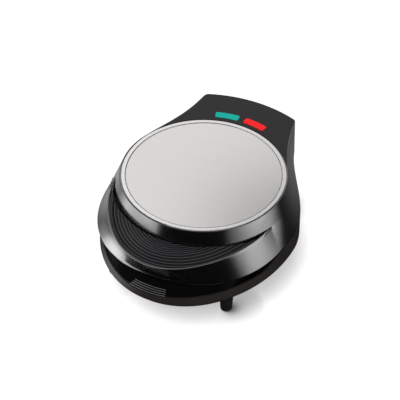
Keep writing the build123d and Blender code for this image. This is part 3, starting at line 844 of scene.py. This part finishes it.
class OMELETTE_OT_base(Operator):
    """Base shell with its vents and the slots for the hinge eyes"""

    bl_idname = "omelette.base"
    bl_label = "Base shell"

    def execute(self, context):
        edge, soft = rounding()
        belt, rim = (belt_reach, belt_fullness), (rim_reach, rim_fullness)
        rings = [
            base_ring(base_low[2], *belt, floor_inset + edge),
            base_ring(base_low[2] + soft, *belt, floor_inset + soft),
            base_ring(base_low[2] + edge, *belt, floor_inset - edge),
            base_ring(belt_z - edge, *belt, edge),
            base_ring(belt_z + edge, belt_reach + edge / 4, belt_fullness - 0.01),
        ]
        for row in range(1, belt_rows):
            share = row / belt_rows
            reach = belt_reach + share * (rim_reach - belt_reach)
            fullness = belt_fullness + share * (rim_fullness - belt_fullness)
            rings.append(base_ring(belt_z + share * (rim_z - belt_z), reach, fullness))
        rings += [
            base_ring(rim_z - 3 * edge, *rim),
            wall_top(base_ring(rim_z, *rim), edge),
            wall_top(base_ring(rim_z, *rim, soft), soft),
            wall_top(base_ring(rim_z, *rim, edge)),
            wall_top(base_ring(rim_z, *rim, wall - edge)),
            wall_top(base_ring(rim_z, *rim, wall - soft), soft),
            wall_top(base_ring(rim_z, *rim, wall), edge),
            base_ring(rim_z - 3 * edge, *rim, wall),
            base_ring(belt_z, *belt, wall),
            base_ring(base_low[2] + wall, *belt, floor_inset + wall / 2),
        ]
        base = ringed("base_skin", rings)

        def vent(x):
            return slab((x, plate_centre_y, base_low[2] + wall / 2), (vent_width, vent_length, 2 * wall))

        cutters = []
        for side in (1, -1):
            cutters += [vent(side * step * vent_pitch) for step in (1, 2, 3)]
            lug = (side * lug_offset, base_high[1] - wall, base_top_z)
            cutters.append(slab(lug, (lug_width, 6 * wall, lug_slot)))
        for cutter in [*cutters, vent(0)]:
            cut(base, cutter)
        smooth(base, 28)
        dress(base, satin_moulding("base_satin_brown", finishes().base_brown, 0.42, 0.07))
        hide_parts("base_shell")
        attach(base, "base")
        return {"FINISHED"}


def grip_bar(grip):
    """One ridge of the finger recess, on its slope and tapered at both ends."""
    along = first_grip + grip * grip_pitch
    fall = (along - scoop_top_reach) / (rim_reach - frame_play - scoop_top_reach) * (base_top_z - rim_z)
    start = grip_left[0] + grip * grip_left[1]
    span = grip_right[0] + grip * grip_right[1] - start
    level = base_top_z - fall
    foot = level - 2 * grip_height
    sections = []
    for step in range(grip_steps + 1):
        x = start + span * step / grip_steps
        taper = min(1.0, (1 - abs(2 * step / grip_steps - 1)) * grip_taper)
        y = along * (1 - (x / (half_width - wall)) ** 2) ** 0.5
        section = []
        for part in range(7):
            turn = pi * part / 6
            rise = grip_shoulder + taper * grip_dome * sin(turn) - grip_sink * (part in (0, 6))
            section.append((x, plate_centre_y - y + grip_width / 2 * (1 + cos(turn)), level + grip_height * rise))
        section = [(x, section[0][1], foot), *section, (x, section[-1][1], foot)]
        sections.append(section + section[:1])
    return ringed(f"grip_{grip}", sections)


class OMELETTE_OT_recess(Operator):
    """Frame of the base, with its sloping finger recess, grip ridges and hinge eyes, and the frame of the lid"""

    bl_idname = "omelette.recess"
    bl_label = "Finger recess and frames"

    def execute(self, context):
        edge, soft = rounding()
        play, top_reach = frame_play, scoop_top_reach + frame_play
        top, rim = (top_reach, scoop_top_fullness), (rim_reach, rim_fullness)

        def plate_hole(z, grow=0.0):
            """The round hole for the lower plate, with as many corners as the outline."""
            radius = plate_hole_radius + grow
            count = len(base_back(half_width, play))
            turns = [pi / 2 * step / count for step in range(1, count + 1)]
            rear = [(radius * cos(turn), radius * sin(turn)) for turn in turns]
            return whole_ring(z, [radius] * len(front_turns()), rear)

        rings = [
            plate_hole(rim_z),
            plate_hole(base_top_z - edge),
            plate_hole(base_top_z - soft, soft),
            plate_hole(base_top_z, edge),
            base_ring(base_top_z, *top, play + edge),
            base_ring(base_top_z - soft, *top, play + soft),
            base_ring(base_top_z - edge, top_reach + edge, scoop_top_fullness, play),
        ]
        for row in range(1, slope_rows + 1):
            share = row / slope_rows
            z = base_top_z - edge - share * (base_top_z - edge - rim_z)
            reach = top_reach + share * (rim_reach - top_reach)
            fullness = scoop_top_fullness + share * (rim_fullness - scoop_top_fullness)
            rings.append(base_ring(z, reach, fullness, play))
        rings += [
            base_ring(rim_z - wall, *rim, play),
            base_ring(rim_z - wall, *rim, play + wall),
            base_ring(base_top_z - frame_top, *top, play + wall),
            plate_hole(base_top_z - frame_top, frame_wall),
            plate_hole(rim_z, frame_wall),
        ]
        recess = ringed("recess_skin", rings + rings[:1])
        # Near-black with almost no gloss: black plastic with painted shade from the lid's brim.
        black = gloss_moulding("recess_black_and_painted_shade", finishes().recess_black_and_shade, 0.2, 0.0, 0.02)
        grey = satin_moulding("grip_top_painted_highlight", finishes().grip_top_highlight, 0.35)
        satin = satin_moulding("frame_satin_black", finishes().frame_black, 0.36, 0.35)
        dress(recess, black, grey, satin)
        for face in recess.data.polygons:
            if face.normal.z > 0.9 and face.center.z > base_top_z - edge:
                face.material_index = 2
        parts = [recess]
        for grip in range(sizes().grip_count):
            bar = grip_bar(grip)
            dress(bar, black, grey)
            for face in bar.data.polygons:
                # Faces that look up take the grey, the rest the recess black: a painted highlight on each ridge's
                # top.
                face.material_index = int(face.normal.z > 0.6)
            parts.append(bar)
        eyes = cad_copy("base_frame")
        dress(eyes, satin)
        open_mesh(eyes)
        behind = (0, base_high[1] - eye_depth, 0)
        bpy.ops.mesh.bisect(plane_co=behind, plane_no=(0, 1, 0), clear_inner=True, use_fill=True)
        close_mesh()
        parts.append(eyes)
        only(recess)
        for part in parts:
            part.select_set(True)
        bpy.ops.object.join()
        shade(recess, 32)
        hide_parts("base_frame")
        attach(recess, "base")
        skin("lid_frame", "lid_frame_skin", satin, sizes().fine_edge)
        return {"FINISHED"}


class OMELETTE_OT_feet(Operator):
    """Four stub feet and the cord inlet bush"""

    bl_idname = "omelette.feet"
    bl_label = "Feet and inlet"

    def execute(self, context):
        grey = satin_moulding("foot_satin_grey", finishes().foot_grey, 0.42, depth=coarse_grain)
        for side in ("front_left", "front_right", "rear_left", "rear_right"):
            skin(f"{side}_foot", f"{side}_stub_foot", grey, 0)
        rubber = satin_moulding("inlet_rubber", finishes().lid_black, 0.6, depth=coarse_grain)
        skin("cord_inlet", "inlet_bush", rubber, 0)
        return {"FINISHED"}


class OMELETTE_OT_plates(Operator):
    """Coated cooking plates"""

    bl_idname = "omelette.plates"
    bl_label = "Cooking plates"

    def execute(self, context):
        coating = non_stick("plate_non_stick", finishes().coating)
        for place in ("upper", "lower"):
            skin(f"{place}_cooking_plate", f"{place}_coated_plate", coating, sizes().fine_edge)
        return {"FINISHED"}


class OMELETTE_OT_inner_parts(Operator):
    """Finishes of the heaters, shields, screws, lamps and wiring inside"""

    bl_idname = "omelette.inner_parts"
    bl_label = "Inner parts"

    def execute(self, context):
        element = metal("element_oxidised_steel", (0.20, 0.18, 0.16), 0.4)
        shield = metal("shield_aluminium", (0.78, 0.78, 0.79), 0.3, 120.0)
        zinc = metal("screw_zinc", (0.62, 0.62, 0.64), 0.25)
        ceramic = satin_moulding("terminal_ceramic", (0.72, 0.68, 0.6), 0.6, depth=coarse_grain)
        sleeve = satin_moulding("lead_silicone", (0.65, 0.62, 0.55), 0.55, depth=coarse_grain)
        groups = (
            (element, ["upper_heating_element", "lower_heating_element", "thermostat"]),
            (shield, ["upper_heat_shield", "lower_heat_shield"]),
            (zinc, ["lid_screws", "base_screws", "upper_shield_screws", "lower_shield_screws", "hinge_pins"]),
            (ceramic, ["terminal_block", "thermal_fuse", "lamp_holder"]),
            (sleeve, ["base_leads", "lid_leads"]),
            (lens_plastic("lamp_glass", (0.8, 0.4, 0.2)), ["neon_lamps"]),
        )
        for material, names in groups:
            for name in names:
                dress(frame["nodes"][name], material)
        return {"FINISHED"}


# ---- stage
light_side = (-0.82, -0.18, 0.54)
shade_reach = 0.034
open_sky = (0.42, 0.82)  # how open the table is where its white is dimmest and brightest
white_levels = (0.12, 1.1)
white_share = 0.88
card_black = 0.004


def shining_material(name, base):
    """A matt surface that the camera, mirrors and glass see partly as plain white.

    The white is dimmed where something near stands between the surface and the side the light comes from.
    """
    material, shader = new_material(name)
    grain = noise(material, coordinates(material), 60.0, 2.0)
    tint(material, shader, grain, base, 0.99, 1.01)
    fill(shader, Roughness=0.9, Specular_IOR_Level=0.1)
    side = add_node(material, "ShaderNodeCombineXYZ", X=light_side[0], Y=light_side[1], Z=light_side[2])
    sky = add_node(material, "ShaderNodeAmbientOcclusion", Distance=shade_reach)
    sky.samples = 32
    link(material, side.outputs["Vector"], sky.inputs["Normal"])
    dimmed = spread(material, sky.outputs["AO"], *white_levels)
    fill(dimmed.node, From_Min=open_sky[0], From_Max=open_sky[1])
    white = add_node(material, "ShaderNodeEmission", Color=(1, 1, 1, 1))
    link(material, dimmed, white.inputs["Strength"])
    ray = add_node(material, "ShaderNodeLightPath").outputs
    seen = combine(material, "ADD", ray["Is Camera Ray"], ray["Is Transmission Ray"])
    seen = combine(material, "ADD", seen, ray["Is Glossy Ray"])
    seen = combine(material, "MULTIPLY", seen, white_share)
    mix_shaders(material, seen, shader.outputs["BSDF"], white.outputs["Emission"])
    return material


def soft_box(name, place, target, width, height, power):
    """A rectangular soft light aimed at a point."""
    lamp = added(bpy.ops.object.light_add, type="AREA", location=place)
    lamp.name = name
    lamp.data.shape = "RECTANGLE"
    lamp.data.size = width
    lamp.data.size_y = height
    lamp.data.energy = power
    direction = lamp.location - type(lamp.location)(target)
    lamp.rotation_euler = direction.to_track_quat("Z", "Y").to_euler()
    lamp.visible_camera = False
    return lamp


def standing(turn, distance, height):
    """Place and turning of a card that faces the maker: turn 0 is in front and a positive turn to the right."""
    way = radians(turn)
    return (distance * sin(way), -distance * cos(way), height), (pi / 2, 0, way)


def reflected_card(name, place, turning, size, level, firmness):
    """A soft-edged card that only reflections see: black where its level is near 0, a strip light above 1."""
    card = added(bpy.ops.mesh.primitive_plane_add, size=1.0)
    card.name = name
    card.location = place
    card.rotation_euler = turning
    card.scale = (*size, 1)
    card.visible_camera = card.visible_diffuse = card.visible_shadow = False
    material, shader = new_material(f"{name}_face")
    middle = add_node(material, "ShaderNodeTexGradient")
    middle.gradient_type = "SPHERICAL"
    link(material, coordinates(material, (0.5, 0.5, 0.5)), middle.inputs["Vector"])
    fade = spread(material, middle.outputs["Fac"], 0.0, 1.0)
    fade.node.interpolation_type = "SMOOTHSTEP"
    fill(fade.node, From_Max=1 / firmness)
    clear = add_node(material, "ShaderNodeBsdfTransparent")
    face = add_node(material, "ShaderNodeEmission", Color=(1, 1, 1, 1), Strength=level)
    mix_shaders(material, fade, clear.outputs["BSDF"], face.outputs["Emission"])
    material.node_tree.nodes.remove(shader)
    dress(card, material)


class OMELETTE_OT_stage(Operator):
    """Table, soft light, cards for the reflections, white surroundings and the camera"""

    bl_idname = "omelette.stage"
    bl_label = "Stage"

    def execute(self, context):
        values = stage_settings()
        floor = added(bpy.ops.mesh.primitive_plane_add, size=12.0, location=(0, 0, 0))
        floor.name = "table_top"
        dress(floor, shining_material("table_white", values.floor))

        left_box = soft_box("left_soft_box", (-1.6, -0.35, 1.0), (0, 0, 0.05), 1.6, 1.2, values.left_power)
        left_box.visible_glossy = False
        soft_box("rear_soft_box", (-0.5, 1.3, 1.7), (0, 0, 0.05), 2.6, 2.0, values.rear_power)
        lying = (0, 0, 0)
        low, strip = values.low_level, values.strip_level
        cards = (
            ("table", (0, -0.02, 0.002), lying, (2.2, 2.2), card_black, 3.0),
            ("left_low", (-0.30, -0.25, 0.004), lying, (0.62, 0.50), low, 2.0),
            ("left_near", (-0.13, -0.165, 0.006), lying, (0.22, 0.20), low, 2.0),
            ("left_rear_low", (-0.26, 0.04, 0.003), lying, (0.34, 0.28), 0.6, 1.5),
            ("right_low", (0.48, 0.02, 0.004), lying, (0.44, 0.54), low, 1.05),
            ("rear_low", (0.10, 0.24, 0.003), lying, (0.50, 0.40), 0.13, 1.6),
            ("left_strip", *standing(-50, 0.6, 0.05), (0.95, 0.44), strip, 1.25),
            ("right_strip", *standing(91, 0.6, 0.05), (0.95, 0.44), strip, 1.05),
            ("disc_shade", (0.07, 0.19, 0.34), lying, (0.44, 0.40), 0.42, 1.2),
            ("front", *standing(12, 0.5, 0.08), (1.0, 0.5), card_black, 3.0),
            ("right_rear", *standing(150, 0.55, 0.05), (1.2, 0.36), 0.01, 3.0),
            ("left_rear", *standing(-128, 0.55, 0.05), (1.0, 0.36), 0.01, 3.0),
        )
        for name, *rest in cards:
            reflected_card(f"{name}_card", *rest)

        world = bpy.data.worlds.new("surroundings")
        world.use_nodes = True
        context.scene.world = world
        tree = world.node_tree
        background = tree.nodes["Background"]
        fill(background, Color=(1, 1, 1, 1))
        seen = tree.nodes.new("ShaderNodeLightPath")
        level = tree.nodes.new("ShaderNodeMapRange")
        fill(level, To_Min=1.0, To_Max=values.sky_level)
        tree.links.new(seen.outputs["Is Diffuse Ray"], level.inputs["Value"])
        tree.links.new(level.outputs["Result"], background.inputs["Strength"])

        aim = (pi / 2 - values.elevation, 0, values.azimuth)
        camera = added(bpy.ops.object.camera_add, location=values.eye, rotation=aim)
        camera.name = "front_right_camera"
        camera.data.lens = values.lens
        context.scene.camera = camera
        context.scene.view_settings.view_transform = "Standard"
        return {"FINISHED"}


class OMELETTE_PT_pieces(Panel):
    """Lists the pieces and their settings"""

    bl_idname = "OMELETTE_PT_pieces"
    bl_label = "Omelette maker"
    bl_space_type = "VIEW_3D"
    bl_region_type = "UI"
    bl_category = "Omelette"

    def draw(self, context):
        layout = self.layout
        for operator in OPERATORS:
            layout.operator(operator.bl_idname)
        for group in (finishes(), sizes(), stage_settings()):
            box = layout.box()
            for name in group.bl_rna.properties.keys():
                if name not in ("rna_type", "name"):
                    box.prop(group, name)


OPERATORS = (
    OMELETTE_OT_stage,
    OMELETTE_OT_lid,
    OMELETTE_OT_front_panel,
    OMELETTE_OT_top_disc,
    OMELETTE_OT_lenses,
    OMELETTE_OT_base,
    OMELETTE_OT_recess,
    OMELETTE_OT_feet,
    OMELETTE_OT_plates,
    OMELETTE_OT_inner_parts,
)
CLASSES = (OmeletteFinishes, OmeletteSizes, OmeletteStage, *OPERATORS, OMELETTE_PT_pieces)


def register():
    for cls in CLASSES:
        bpy.utils.register_class(cls)
    bpy.types.Scene.omelette_finishes = PointerProperty(type=OmeletteFinishes)
    bpy.types.Scene.omelette_sizes = PointerProperty(type=OmeletteSizes)
    bpy.types.Scene.omelette_stage = PointerProperty(type=OmeletteStage)


def unregister():
    del bpy.types.Scene.omelette_stage
    del bpy.types.Scene.omelette_sizes
    del bpy.types.Scene.omelette_finishes
    for cls in reversed(CLASSES):
        bpy.utils.unregister_class(cls)


def main():
    register()
    bpy.ops.omelette.stage()
    bpy.ops.omelette.lid()
    bpy.ops.omelette.front_panel()
    bpy.ops.omelette.top_disc()
    bpy.ops.omelette.lenses()
    bpy.ops.omelette.base()
    bpy.ops.omelette.recess()
    bpy.ops.omelette.feet()
    bpy.ops.omelette.plates()
    bpy.ops.omelette.inner_parts()


if __name__ == "__main__":
    main()
